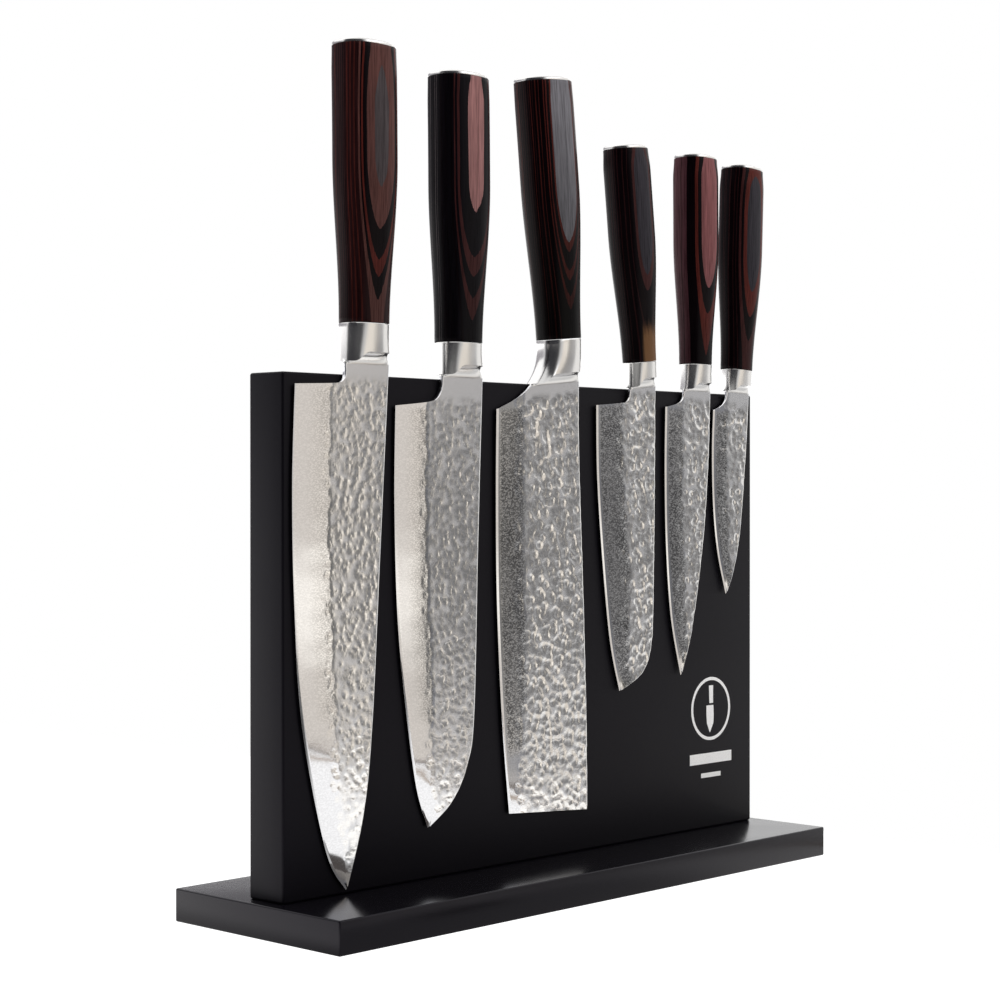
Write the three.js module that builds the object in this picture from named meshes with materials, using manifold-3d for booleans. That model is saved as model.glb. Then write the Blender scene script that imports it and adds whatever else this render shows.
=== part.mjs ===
// Magnetic knife block with kitchen knives.
// Millimetres, +Z up. The origin is on the resting surface, under the middle of the base.
// The knives hang on the front face of the board, which looks along -Y; their spines point to +X.

import * as THREE from 'three';
import { mergeVertices } from 'three/addons/utils/BufferGeometryUtils.js';
import Module from 'manifold-3d';

const wasm = await Module();
wasm.setup();

// ---------------------------------------------------------------- driving dimensions

const FOOT = { radius: 6, thickness: 2, recess: 1, ease: 0.5, fromEnd: 16, fromSide: 14 };
const BASE = { length: 312, depth: 98, thickness: 13.5, ease: 1.2 };
const BOARD = { length: 300, height: 206.5, frontThickness: 8, rearThickness: 12, ease: 1 };
const SCREW = {
  headRadius: 4.1, shankRadius: 2.1, length: 38, rim: 0.5, headHeight: 2.6, tip: 4, sunk: 0.6, pitch: 110,
};
const SCREW_CROSS = { length: 3.6, width: 0.9, depth: 1.2 };
const DOWEL = { radius: 4, length: 30, ease: 0.8, inBase: 9.8, pitch: 200 };
const MAGNET = { length: 40, width: 12, thickness: 5.8, pitch: 47, rows: [151, 191], columns: 6 };
const CLEARANCE = 0.15;
const KNIFE_GAP = 0.3;

const BASE_BOTTOM = FOOT.thickness - FOOT.recess;
const BASE_TOP = BASE_BOTTOM + BASE.thickness;
const BOARD_THICKNESS = BOARD.frontThickness + BOARD.rearThickness;
const BOARD_FRONT = -BOARD_THICKNESS / 2;
const BOARD_SPLIT = BOARD_FRONT + BOARD.frontThickness;
const CORE_MIDDLE = BOARD_SPLIT + BOARD.rearThickness / 2;
const MAGNET_SKIN = 2;

const SPINE_HALF = 1.1;
const EDGE_HALF = 0.15;
const BLADE_PLANE = BOARD_FRONT - KNIFE_GAP - SPINE_HALF;
const TANG = { halfWidth: 5, halfThickness: 0.6, overlap: 3 };
const CAP = { thickness: 2, inset: 0.3, rounding: 1.6, pegRadius: 2.5, pegLength: 8 };
const BOLSTER_END_HALF = 1.7;
const BOLSTER_SLIMMING = 0.92;
const TANG_SHARE = 0.7;
const BLADE_TAPER = 0.4;
const GRIND_SHARE = 0.6;
const OVAL_POWER = 2.5;
const OVAL_SIDES = 20;
const SMALL_SIDES = 16;
const FOOT_SIDES = 20;
const PEG_SIDES = 12;

// A handle swells from the bolster to the butt and bows a little towards the spine.
const LARGE_HANDLE = { length: 110.3, start: 10.7, swell: 3.1, flatness: 0.745, bow: 0.6, buttTaper: 0.2 };
const CLEAVER_HANDLE = { ...LARGE_HANDLE, length: 111.6 };
const SMALL_HANDLE = { length: 96.4, start: 8.4, swell: 3.2, flatness: 0.75, bow: 0.4, buttTaper: 0.6 };

// Each knife has its own frame: the origin is where the handle meets the bolster, +Z runs up the
// handle and +X points from the cutting edge to the spine. at is that origin on the block, above
// the base's underside, and lean is the knife's tilt in degrees, with the handle towards +X.
// choil runs from the front of the neck to the heel, edge from the heel to the tip, and spine
// from the back of the neck to the tip.
const KNIVES = [
  {
    name: 'chef', handle: LARGE_HANDLE, at: [-108.3, 240.4], lean: 0, collar: 11.4, neck: 15.7,
    choil: [[-11, -16], [-11, -20.8], [-13.4, -23.4], [-18, -24.2], [-36.7, -25]],
    edge: [[-36.7, -25], [-38.1, -65], [-37.1, -110], [-33.1, -158], [-20.8, -208], [-10.1, -225]],
    spine: [[12.8, -16], [8.3, -90], [4, -160], [-0.7, -196], [-9.5, -224.4]],
  },
  {
    name: 'santoku', handle: LARGE_HANDLE, at: [-54.5, 235.3], lean: 0, collar: 9.3, neck: 13.9,
    choil: [[-10.4, -14.2], [-10.8, -19], [-13.4, -23], [-18.5, -24.9], [-36.5, -26.9]],
    edge: [[-36.5, -26.9], [-37.1, -65], [-35.6, -110], [-31.5, -145], [-25, -182], [-18.1, -200.3]],
    spine: [[13.6, -14.2], [11.1, -85], [9, -155], [5, -176.3], [-4, -191], [-17.4, -200.2]],
  },
  {
    name: 'cleaver', handle: CLEAVER_HANDLE, at: [8.3, 240], lean: -5.4, collar: 14.6, neck: 18.7,
    choil: [[-20.6, -19], [-25, -21.4], [-31, -24.2], [-42.5, -27.7]],
    edge: [[-42.5, -27.7], [-46.4, -65], [-50, -110], [-51.6, -160], [-51, -200.7]],
    spine: [[10.6, -19], [7.9, -51], [5.3, -110], [2, -171], [-1, -208.8]],
  },
  {
    name: 'small_santoku', handle: SMALL_HANDLE, at: [63.6, 232.5], lean: -5.9, collar: 7.4, neck: 11.4,
    choil: [[-8.6, -11.7], [-9.6, -15.4], [-12.4, -17.5], [-17, -17.9], [-32.1, -17.3]],
    edge: [[-32.1, -17.3], [-34.8, -50], [-35, -90], [-33.6, -124], [-29.5, -147]],
    spine: [[9.3, -11.7], [3, -70], [-2.2, -113], [-5.2, -130], [-12.6, -141.4], [-28.8, -147.2]],
  },
  {
    name: 'utility', handle: SMALL_HANDLE, at: [104.8, 233], lean: 0, collar: 8.6, neck: 12.1,
    choil: [[-9, -12.4], [-10.4, -16.2], [-14, -18.6], [-22.4, -20.4]],
    edge: [[-22.4, -20.4], [-22.9, -50], [-21.9, -85], [-18.4, -118], [-11.2, -145.4]],
    spine: [[10.2, -12.4], [9, -45], [5.4, -82], [-2.6, -123], [-10.6, -145]],
  },
  {
    name: 'paring', handle: SMALL_HANDLE, at: [136.5, 231.6], lean: 2.65, collar: 7.2, neck: 10.5,
    choil: [[-7.6, -10.8], [-8.6, -14.8], [-12, -18], [-17.2, -20.4]],
    edge: [[-17.2, -20.4], [-17.2, -40], [-15.2, -65], [-11, -87], [-3.5, -107.5]],
    spine: [[9.2, -10.8], [8.2, -45], [5.6, -80], [1.2, -98], [-3, -107.1]],
  },
];

// ---------------------------------------------------------------- finishes

function finish(color, roughness, metalness) {
  return new THREE.MeshStandardMaterial({ color, roughness, metalness });
}

const BLACK_LACQUER = finish(0x161618, 0.4, 0);
const MAGNET_PLATING = finish(0x8c8d90, 0.35, 1);
const SCREW_STEEL = finish(0x9a9a96, 0.35, 1);
const BEECH = finish(0xc9a273, 0.7, 0);
const RUBBER = finish(0x1c1c1c, 0.9, 0);
const BLADE_STEEL = finish(0xb9b7b2, 0.3, 1);
const POLISHED_STEEL = finish(0xd6d6d4, 0.15, 1);
const LAMINATED_WOOD = finish(0x3a1a16, 0.35, 0);

const block = new THREE.Group();

function addPiece(parent, name, geometry, material) {
  const mesh = new THREE.Mesh(geometry, material);
  mesh.name = name;
  parent.add(mesh);
  return mesh;
}

// ---------------------------------------------------------------- solids and shapes

function signedVolume(position, index) {
  const a = new THREE.Vector3();
  const b = new THREE.Vector3();
  const c = new THREE.Vector3();
  let volume = 0;
  for (let i = 0; i < index.count; i += 3) {
    a.fromBufferAttribute(position, index.getX(i));
    b.fromBufferAttribute(position, index.getX(i + 1));
    c.fromBufferAttribute(position, index.getX(i + 2));
    volume += a.dot(b.cross(c)) / 6;
  }
  return volume;
}

// Merges shared corners and turns every face outwards.
function closed(geometry) {
  geometry.deleteAttribute('normal');
  geometry.deleteAttribute('uv');
  const merged = mergeVertices(geometry);
  const index = merged.getIndex();
  if (signedVolume(merged.getAttribute('position'), index) < 0) index.array.reverse();
  return merged;
}

function solidOf(geometry) {
  const merged = closed(geometry);
  return new wasm.Manifold(new wasm.Mesh({
    numProp: 3,
    vertProperties: Float32Array.from(merged.getAttribute('position').array),
    triVerts: Uint32Array.from(merged.getIndex().array),
  }));
}

function geometryOf(solid) {
  const mesh = solid.getMesh();
  const geometry = new THREE.BufferGeometry();
  geometry.setAttribute('position', new THREE.BufferAttribute(mesh.vertProperties, 3));
  geometry.setIndex(new THREE.BufferAttribute(mesh.triVerts, 1));
  return geometry;
}

function boxBetween(low, high) {
  const size = high.map((value, axis) => value - low[axis]);
  const middle = high.map((value, axis) => (value + low[axis]) / 2);
  return new THREE.BoxGeometry(...size).translate(...middle);
}

// Turns a profile of [radius, height] points, which starts and ends on the axis, about +Z.
function turned(profile, sides) {
  const points = profile.map(([radius, height]) => new THREE.Vector2(radius, height));
  return new THREE.LatheGeometry(points, sides).rotateX(Math.PI / 2);
}

// Joins rings of points, one after another, and closes both ends from their middles.
function loft(rings) {
  const sides = rings[0].length;
  const corners = rings.flat();
  const faces = [];
  for (let ring = 0; ring + 1 < rings.length; ring += 1) {
    for (let side = 0; side < sides; side += 1) {
      const here = ring * sides + side;
      const beside = ring * sides + (side + 1) % sides;
      faces.push(here, beside, beside + sides, here, beside + sides, here + sides);
    }
  }
  for (const ring of [0, rings.length - 1]) {
    const middle = rings[ring].reduce((sum, point) => sum.add(point), new THREE.Vector3());
    const hub = corners.push(middle.divideScalar(sides)) - 1;
    for (let side = 0; side < sides; side += 1) {
      const here = ring * sides + side;
      const beside = ring * sides + (side + 1) % sides;
      if (ring === 0) faces.push(hub, beside, here);
      else faces.push(hub, here, beside);
    }
  }
  const geometry = new THREE.BufferGeometry().setFromPoints(corners);
  geometry.setIndex(faces);
  return geometry;
}

// A rectangular block whose twelve edges are eased by a small chamfer.
function easedBlock(length, depth, bottom, top, ease) {
  const ringAt = (height, inset) => {
    const x = length / 2 - inset;
    const y = depth / 2 - inset;
    const outline = [
      [x - ease, -y], [x, ease - y], [x, y - ease], [x - ease, y],
      [ease - x, y], [-x, y - ease], [-x, ease - y], [ease - x, -y],
    ];
    return outline.map(([px, py]) => new THREE.Vector3(px, py, height));
  };
  return loft([ringAt(bottom, ease), ringAt(bottom + ease, 0), ringAt(top - ease, 0), ringAt(top, ease)]);
}

// A ring in the shape of a full oval, which is squarer than an ellipse.
function ovalRing(halfWidth, halfThickness, middleX, height) {
  const power = 2 / OVAL_POWER;
  const stretch = (value) => Math.sign(value) * Math.abs(value) ** power;
  return Array.from({ length: OVAL_SIDES }, (_, side) => {
    const angle = (2 * Math.PI * side) / OVAL_SIDES;
    const x = middleX + halfWidth * stretch(Math.cos(angle));
    return new THREE.Vector3(x, halfThickness * stretch(Math.sin(angle)), height);
  });
}

function smoothStep(value) {
  const t = Math.min(Math.max(value, 0), 1);
  return t * t * (3 - 2 * t);
}

// ---------------------------------------------------------------- fasteners and feet

function screwSolid(grow) {
  const head = SCREW.headRadius + grow;
  const shank = SCREW.shankRadius + grow;
  const tip = SCREW.length + grow;
  const profile = [
    [0, 0], [head, 0], [head, SCREW.rim], [shank, SCREW.headHeight], [shank, tip - SCREW.tip], [0, tip],
  ];
  return turned(profile, SMALL_SIDES);
}

function screwWithCross() {
  const { length, width, depth } = SCREW_CROSS;
  const arms = [[length / 2, width / 2], [width / 2, length / 2]];
  const slots = arms.map(([x, y]) => boxBetween([-x, -y, -1], [x, y, depth]));
  return slots.reduce((screw, slot) => screw.subtract(solidOf(slot)), solidOf(screwSolid(0)));
}

function dowelSolid(grow) {
  const radius = DOWEL.radius + grow;
  const { length, ease } = DOWEL;
  const profile = [
    [0, -grow], [radius - ease, -grow], [radius, ease],
    [radius, length - ease], [radius - ease, length + grow], [0, length + grow],
  ];
  return turned(profile, SMALL_SIDES);
}

function footGeometry() {
  const { radius, thickness, ease } = FOOT;
  const profile = [[0, 0], [radius - ease, 0], [radius, ease], [radius, thickness], [0, thickness]];
  return turned(profile, FOOT_SIDES);
}

const SCREW_PLACES = ['left', 'middle', 'right'].map((side, i) => ({
  name: `base_screw_${side}`,
  place: [(i - 1) * SCREW.pitch, CORE_MIDDLE, BASE_BOTTOM + SCREW.sunk],
}));

const DOWEL_PLACES = ['left', 'right'].map((side, i) => ({
  name: `dowel_${side}`,
  place: [(i - 0.5) * DOWEL.pitch, CORE_MIDDLE, BASE_TOP - DOWEL.inBase],
}));

const FOOT_PLACES = [['front', -1], ['rear', 1]].flatMap(([end, y]) => (
  [['left', -1], ['right', 1]].map(([side, x]) => ({
    name: `foot_${end}_${side}`,
    place: [x * (BASE.length / 2 - FOOT.fromEnd), y * (BASE.depth / 2 - FOOT.fromSide), 0],
  }))
));

function cutAt(solid, places, makeCutter) {
  return places.reduce((rest, { place }) => rest.subtract(solidOf(makeCutter().translate(...place))), solid);
}

function addFasteners() {
  for (const { name, place } of SCREW_PLACES) {
    addPiece(block, name, geometryOf(screwWithCross()), SCREW_STEEL).position.set(...place);
  }
  for (const { name, place } of DOWEL_PLACES) {
    addPiece(block, name, closed(dowelSolid(0)), BEECH).position.set(...place);
  }
  for (const { name, place } of FOOT_PLACES) {
    addPiece(block, name, closed(footGeometry()), RUBBER).position.set(...place);
  }
}

// ---------------------------------------------------------------- base and board

function addBase() {
  let base = solidOf(easedBlock(BASE.length, BASE.depth, BASE_BOTTOM, BASE_TOP, BASE.ease));
  base = cutAt(base, SCREW_PLACES, () => screwSolid(CLEARANCE));
  for (const { place: [x, y, z] } of SCREW_PLACES) {
    const radius = SCREW.headRadius + CLEARANCE;
    const mouth = turned([[0, -2], [radius, -2], [radius, 0.2], [0, 0.2]], SMALL_SIDES);
    base = base.subtract(solidOf(mouth.translate(x, y, z)));
  }
  base = cutAt(base, DOWEL_PLACES, () => dowelSolid(CLEARANCE));
  for (const { place: [x, y] } of FOOT_PLACES) {
    const radius = FOOT.radius + CLEARANCE;
    const recess = [[0, -1], [radius, -1], [radius, FOOT.thickness], [0, FOOT.thickness]];
    base = base.subtract(solidOf(turned(recess, FOOT_SIDES).translate(x, y, 0)));
  }
  addPiece(block, 'base_plate', geometryOf(base), BLACK_LACQUER);
}

function magnetPlaces() {
  return MAGNET.rows.flatMap((height, row) => (
    Array.from({ length: MAGNET.columns }, (_, column) => ({
      name: `magnet_${row === 0 ? 'lower' : 'upper'}_${column + 1}`,
      x: (column - (MAGNET.columns - 1) / 2) * MAGNET.pitch,
      z: BASE_BOTTOM + height,
    }))
  ));
}

function magnetBox({ x, z }, grow, back) {
  const halfLength = MAGNET.length / 2 + grow;
  const halfWidth = MAGNET.width / 2 + grow;
  const front = BOARD_FRONT + MAGNET_SKIN;
  return boxBetween([x - halfLength, front, z - halfWidth], [x + halfLength, back, z + halfWidth]);
}

// The board is two layers glued at BOARD_SPLIT: the front one is milled from behind for the
// magnets, and the rear one takes the screws and dowels from the base.
function addBoard() {
  const top = BASE_TOP + BOARD.height;
  const whole = solidOf(easedBlock(BOARD.length, BOARD_THICKNESS, BASE_TOP, top, BOARD.ease));
  const reach = BOARD.length;
  const frontHalf = solidOf(boxBetween([-reach, -reach, 0], [reach, BOARD_SPLIT, 2 * reach]));
  let front = whole.intersect(frontHalf);
  let rear = whole.subtract(frontHalf);
  for (const magnet of magnetPlaces()) {
    front = front.subtract(solidOf(magnetBox(magnet, CLEARANCE, BOARD_SPLIT + 1)));
    const back = BOARD_FRONT + MAGNET_SKIN + MAGNET.thickness;
    addPiece(block, magnet.name, closed(magnetBox(magnet, 0, back)), MAGNET_PLATING);
  }
  rear = cutAt(rear, SCREW_PLACES, () => screwSolid(CLEARANCE));
  rear = cutAt(rear, DOWEL_PLACES, () => dowelSolid(CLEARANCE));
  addPiece(block, 'front_panel', geometryOf(front), BLACK_LACQUER);
  addPiece(block, 'rear_panel', geometryOf(rear), BLACK_LACQUER);
}

// ---------------------------------------------------------------- knives

function curveThrough(points) {
  return new THREE.SplineCurve(points.map(([x, z]) => new THREE.Vector2(x, z)));
}

// One slice across the blade, from the front outline to the back one, as a closed ring. The
// blade is thickest at the spine and thins towards the cutting edge at edgeX.
function bladeRing(front, back, edgeX, spineHalf) {
  const grindWidth = GRIND_SHARE * (back.x - edgeX);
  const across = [0, 0.2, 0.5, 1].map((u) => front.clone().lerp(back, u));
  const halfAt = (x) => EDGE_HALF + (spineHalf - EDGE_HALF) * Math.min(1, (x - edgeX) / grindWidth);
  const near = across.map(({ x, y }) => new THREE.Vector3(x, -halfAt(x), y));
  const far = across.map(({ x, y }) => new THREE.Vector3(x, halfAt(x), y)).reverse();
  return near.concat(far);
}

function bladeBody({ choil, edge, spine }) {
  const choilCurve = curveThrough(choil);
  const edgeCurve = curveThrough(edge);
  const spineCurve = curveThrough(spine);
  const heel = edge[0];
  const atHeel = (spine[0][1] - heel[1]) / spineCurve.getLength();
  const neckRows = 7;
  const edgeRows = 16;
  const rings = [];
  for (let row = 0; row < neckRows; row += 1) {
    const t = row / neckRows;
    rings.push(bladeRing(choilCurve.getPointAt(t), spineCurve.getPointAt(t * atHeel), heel[0], SPINE_HALF));
  }
  for (let row = 0; row <= edgeRows; row += 1) {
    const t = row / edgeRows;
    const front = edgeCurve.getPointAt(t);
    const back = spineCurve.getPointAt(atHeel + t * (1 - atHeel));
    rings.push(bladeRing(front, back, front.x, SPINE_HALF * (1 - BLADE_TAPER * t)));
  }
  return solidOf(loft(rings));
}

function bladeWithTang(knife) {
  const { halfWidth, halfThickness, overlap } = TANG;
  const top = TANG_SHARE * knife.handle.length;
  const foot = knife.spine[0][1] - overlap;
  const tang = boxBetween([-halfWidth, -halfThickness, foot], [halfWidth, halfThickness, top]);
  return bladeBody(knife).add(solidOf(tang));
}

function tangSlot(top, bottom) {
  const x = TANG.halfWidth + KNIFE_GAP;
  const y = TANG.halfThickness + KNIFE_GAP;
  return solidOf(boxBetween([-x, -y, bottom], [x, y, top]));
}

function handleRing(handle, t) {
  const swellEnd = 0.6;
  const buttStart = 0.9;
  const taper = handle.buttTaper * smoothStep((t - buttStart) / (1 - buttStart));
  const halfWidth = handle.start + handle.swell * smoothStep(t / swellEnd) - taper;
  const middle = handle.bow * Math.sin(Math.PI * t);
  return ovalRing(halfWidth, halfWidth * handle.flatness, middle, t * handle.length);
}

function handleSolid(handle) {
  const stations = [0, 0.12, 0.24, 0.36, 0.48, 0.6, 0.75, 0.9, 0.96, 1];
  const wood = solidOf(loft(stations.map((t) => handleRing(handle, t))));
  const radius = CAP.pegRadius + KNIFE_GAP;
  const bottom = handle.length - CAP.pegLength - 1;
  const top = handle.length + 1;
  const pegHole = turned([[0, bottom], [radius, bottom], [radius, top], [0, top]], PEG_SIDES);
  return wood
    .subtract(tangSlot(TANG_SHARE * handle.length + 1, -1))
    .subtract(solidOf(pegHole));
}

// The bolster runs down from the handle as a collar, slimming on its way, and then its shoulders
// close in on the blade. Its width flares with the square of the depth.
function bolsterSolid({ handle, collar, neck, spine, choil }) {
  const inset = 0.1;
  const back = spine[0][0] - inset;
  const front = choil[0][0] + inset;
  const endMiddle = (back + front) / 2;
  const endHalf = (back - front) / 2;
  const thick = handle.start * handle.flatness;
  const slimmed = BOLSTER_SLIMMING * thick;
  const between = (from, to, t) => from + (to - from) * t;
  const collarRing = (depth, halfThickness) => {
    const flare = (depth / neck) ** 2;
    return ovalRing(between(handle.start, endHalf, flare), halfThickness, endMiddle * flare, -depth);
  };
  return solidOf(loft([
    collarRing(inset, thick),
    collarRing(collar / 2, between(thick, slimmed, 0.45)),
    collarRing(collar, slimmed),
    ovalRing(endHalf, between(BOLSTER_END_HALF, slimmed, 0.4), endMiddle, -between(collar, neck, 0.5)),
    ovalRing(endHalf, BOLSTER_END_HALF, endMiddle, -neck),
  ])).subtract(tangSlot(collar, -2 * neck));
}

function endCapSolid(handle) {
  const [low, high] = [0, 1].map((t) => handle.length + CAP.thickness * t);
  const half = handle.start + handle.swell - handle.buttTaper - CAP.inset;
  const rings = [[half, low + 0.05], [half, low + 0.6 * CAP.thickness], [half - CAP.rounding, high]];
  const plate = loft(rings.map(([width, height]) => ovalRing(width, width * handle.flatness, 0, height)));
  const { pegRadius, pegLength } = CAP;
  const peg = turned([[0, -pegLength], [pegRadius, -pegLength], [pegRadius, 1], [0, 1]], PEG_SIDES);
  return solidOf(plate).add(solidOf(peg.translate(0, 0, low)));
}

function addKnife(knife) {
  const group = new THREE.Group();
  group.position.set(knife.at[0], BLADE_PLANE, BASE_BOTTOM + knife.at[1]);
  group.rotation.y = THREE.MathUtils.degToRad(knife.lean);
  addPiece(group, `${knife.name}_blade`, geometryOf(bladeWithTang(knife)), BLADE_STEEL);
  addPiece(group, `${knife.name}_bolster`, geometryOf(bolsterSolid(knife)), POLISHED_STEEL);
  const wood = geometryOf(handleSolid(knife.handle));
  addPiece(group, `${knife.name}_handle`, wood, LAMINATED_WOOD).position.z = KNIFE_GAP;
  const cap = addPiece(group, `${knife.name}_end_cap`, geometryOf(endCapSolid(knife.handle)), POLISHED_STEEL);
  cap.position.z = 2 * KNIFE_GAP;
  block.add(group);
}

addBase();
addBoard();
addFasteners();
KNIVES.forEach(addKnife);

export default block;
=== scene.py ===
"""Looks of the magnetic knife block: a black lacquered board on a base, with six hammered knives."""
import math
import random

import bpy
import numpy as np
from mathutils import Matrix, Vector


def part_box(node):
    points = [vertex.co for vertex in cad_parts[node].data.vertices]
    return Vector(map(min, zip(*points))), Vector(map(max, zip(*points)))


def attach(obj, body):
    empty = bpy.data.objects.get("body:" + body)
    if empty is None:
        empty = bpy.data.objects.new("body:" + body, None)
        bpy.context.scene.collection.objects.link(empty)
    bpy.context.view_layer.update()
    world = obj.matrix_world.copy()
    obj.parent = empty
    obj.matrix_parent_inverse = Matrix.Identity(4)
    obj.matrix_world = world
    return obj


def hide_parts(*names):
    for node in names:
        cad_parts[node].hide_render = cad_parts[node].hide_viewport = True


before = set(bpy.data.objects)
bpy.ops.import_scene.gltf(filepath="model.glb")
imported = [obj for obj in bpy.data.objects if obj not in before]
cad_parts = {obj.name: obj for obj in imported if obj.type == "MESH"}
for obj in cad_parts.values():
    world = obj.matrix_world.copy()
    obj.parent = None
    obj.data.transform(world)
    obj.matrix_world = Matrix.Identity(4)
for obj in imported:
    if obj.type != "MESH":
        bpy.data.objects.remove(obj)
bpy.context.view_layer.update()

MM = 0.001

# ------------------------------ driving dimensions, in mm


def box_mm(node):
    low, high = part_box(node)
    return np.array(low) / MM, np.array(high) / MM


BASE_LOW, BASE_HIGH = box_mm("base_plate")
FRONT_LOW, FRONT_HIGH = box_mm("front_panel")
REAR_HIGH = box_mm("rear_panel")[1]
BASE_BOTTOM = BASE_LOW[2]
BOARD_FRONT = FRONT_LOW[1]
BOARD_SPLIT = FRONT_HIGH[1]

KNIFE_GAP = 0.3
SPINE_HALF = 1.1
EDGE_HALF = 0.04
BLADE_PLANE = BOARD_FRONT - KNIFE_GAP - SPINE_HALF
OVAL_POWER = 2.5
RING_SIDES = 64

LARGE_HANDLE = dict(length=110.3, start=10.7, swell=3.1, flatness=0.745, bow=0.6, butt_taper=0.2)
CLEAVER_HANDLE = dict(LARGE_HANDLE, length=111.6)
SMALL_HANDLE = dict(length=96.4, start=8.4, swell=3.2, flatness=0.75, bow=0.4, butt_taper=0.6)

# The knives as the frame has them: +Z runs up the handle and +X points from edge to spine.
#   at, lean       where the handle starts on the board, and its tilt in degrees
#   collar, neck   how far down the bolster's straight part and its end are
#   grind          width of the ground band beside the cutting edge
#   etch           strength of the band's etched grain, which grows over etch_rise and ends at etch_end
#   shoulder       thickness at the top of the ground band, as a share of the spine's
#   dent           depth of the hammered dents, which lie dent_pitch apart
#   crown          how strongly the veneers bend across the handle, which shapes their loops
#   closing        share of the depth that is left at the butt, which closes the loops there
#   fade           brightness of the wood at the bolster, from where a painted sheen lightens it towards the butt
#   veneers        dyes from the near side inwards, with the distance from the middle where each ends
#   inner          the dye of the remaining thick veneers, and those of the thin lines between them
#   choil, edge, spine   the blade's outline, from the bolster round to the tip
KNIVES = [
    dict(
        name="chef", handle=LARGE_HANDLE, at=(-108.3, 240.4), lean=0, collar=11.4, neck=15.7,
        grind=18, etch=0.42, etch_rise=15, etch_end=-163, shoulder=0.95, dent=0.065, dent_pitch=2.6,
        crown=700.0, closing=0.965, fade=0.75,
        veneers=[
            ("charcoal", 10.15), ("walnut", 9.39), ("black", 8.74),
            ("red", 8.35), ("black", 8.08), ("walnut", 7.6),
        ],
        inner=("dull", ["black", "maroon", "black"]),
        choil=[(-11, -16), (-11, -20.8), (-13.4, -23.4), (-18, -24.2), (-36.7, -25)],
        edge=[(-36.7, -25), (-38.1, -65), (-37.1, -110), (-33.1, -158), (-20.8, -208), (-10.1, -225)],
        spine=[(12.8, -16), (8.3, -90), (4, -160), (-0.7, -196), (-9.5, -224.4)],
    ),
    dict(
        name="santoku", handle=LARGE_HANDLE, at=(-54.5, 235.3), lean=0, collar=9.3, neck=13.9,
        grind=17, etch=0.55, etch_rise=14, etch_end=-162, shoulder=0.95, dent=0.065, dent_pitch=2.6,
        crown=1200.0, closing=1.0, fade=0.75,
        veneers=[("rosewood", 10.11), ("ebony", 9.27), ("dusk", 8.75), ("ebony", 8.32), ("dusk", 8.02)],
        inner=("ebony", ["black", "ebony", "charcoal"]),
        choil=[(-10.4, -14.2), (-10.8, -19), (-13.4, -23), (-18.5, -24.9), (-36.5, -26.9)],
        edge=[(-36.5, -26.9), (-37.1, -65), (-35.6, -110), (-31.5, -145), (-25, -182), (-18.1, -200.3)],
        spine=[(13.6, -14.2), (11.1, -85), (9, -155), (5, -176.3), (-4, -191), (-17.4, -200.2)],
    ),
    dict(
        name="cleaver", handle=CLEAVER_HANDLE, at=(8.3, 240), lean=-5.4, collar=14.6, neck=18.7,
        grind=16, etch=1.0, etch_rise=2, etch_end=-180, shoulder=0.6, dent=0.15, dent_pitch=3.4,
        crown=500.0, closing=1.0, fade=0.15,
        # The first veneer is a charcoal dye made lighter by a painted sheen.
        veneers=[
            ("slate_and_painted_sheen", 9.56), ("red", 9.3), ("black", 8.95),
            ("red", 8.67), ("black", 8.33), ("red", 8.15),
        ],
        inner=("black", ["maroon", "dull"]),
        choil=[(-20.6, -19), (-25, -21.4), (-31, -24.2), (-42.5, -27.7)],
        edge=[(-42.5, -27.7), (-46.4, -65), (-50, -110), (-51.6, -160), (-51, -200.7)],
        spine=[(10.6, -19), (7.9, -51), (5.3, -110), (2, -171), (-1, -208.8)],
    ),
    dict(
        name="small_santoku", handle=SMALL_HANDLE, at=(63.6, 232.5), lean=-5.9, collar=7.4, neck=11.4,
        grind=17, etch=1.0, etch_rise=2, etch_end=-170, shoulder=0.66, dent=0.17, dent_pitch=3.2,
        crown=200.0, closing=1.0, fade=0.75,
        veneers=[("coal", 8.12), ("dusk", 7.75), ("black", 7.3)],
        inner=("black", ["black", "dull", "dull"]), tan_patch=True,
        choil=[(-8.6, -11.7), (-9.6, -15.4), (-12.4, -17.5), (-17, -17.9), (-32.1, -17.3)],
        edge=[(-32.1, -17.3), (-34.8, -50), (-35, -90), (-33.6, -124), (-29.5, -147)],
        spine=[(9.3, -11.7), (3, -70), (-2.2, -113), (-5.2, -130), (-12.6, -141.4), (-28.8, -147.2)],
    ),
    dict(
        name="utility", handle=SMALL_HANDLE, at=(104.8, 233), lean=0, collar=8.6, neck=12.1,
        grind=12, etch=1.0, etch_rise=2, etch_end=-170, shoulder=0.66, dent=0.17, dent_pitch=3.2,
        crown=300.0, closing=1.0, fade=0.75,
        veneers=[("brown", 7.9), ("black", 7.14), ("red", 6.3), ("black", 2.9)],
        inner=("plum", ["plum", "dull"]),
        choil=[(-9, -12.4), (-10.4, -16.2), (-14, -18.6), (-22.4, -20.4)],
        edge=[(-22.4, -20.4), (-22.9, -50), (-21.9, -85), (-18.4, -118), (-11.2, -145.4)],
        spine=[(10.2, -12.4), (9, -45), (5.4, -82), (-2.6, -123), (-10.6, -145)],
    ),
    dict(
        name="paring", handle=SMALL_HANDLE, at=(136.5, 231.6), lean=2.65, collar=7.2, neck=10.5,
        grind=10, etch=1.0, etch_rise=2, etch_end=-130, shoulder=0.66, dent=0.16, dent_pitch=3.0,
        crown=200.0, closing=0.94, fade=0.75,
        veneers=[("coal", 8.06), ("red", 7.31), ("black", 6.6), ("dusk", 5.9)],
        inner=("black", ["dull", "black", "dull"]),
        choil=[(-7.6, -10.8), (-8.6, -14.8), (-12, -18), (-17.2, -20.4)],
        edge=[(-17.2, -20.4), (-17.2, -40), (-15.2, -65), (-11, -87), (-3.5, -107.5)],
        spine=[(9.2, -10.8), (8.2, -45), (5.6, -80), (1.2, -98), (-3, -107.1)],
    ),
]

# ------------------------------ camera, light and floor

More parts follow.
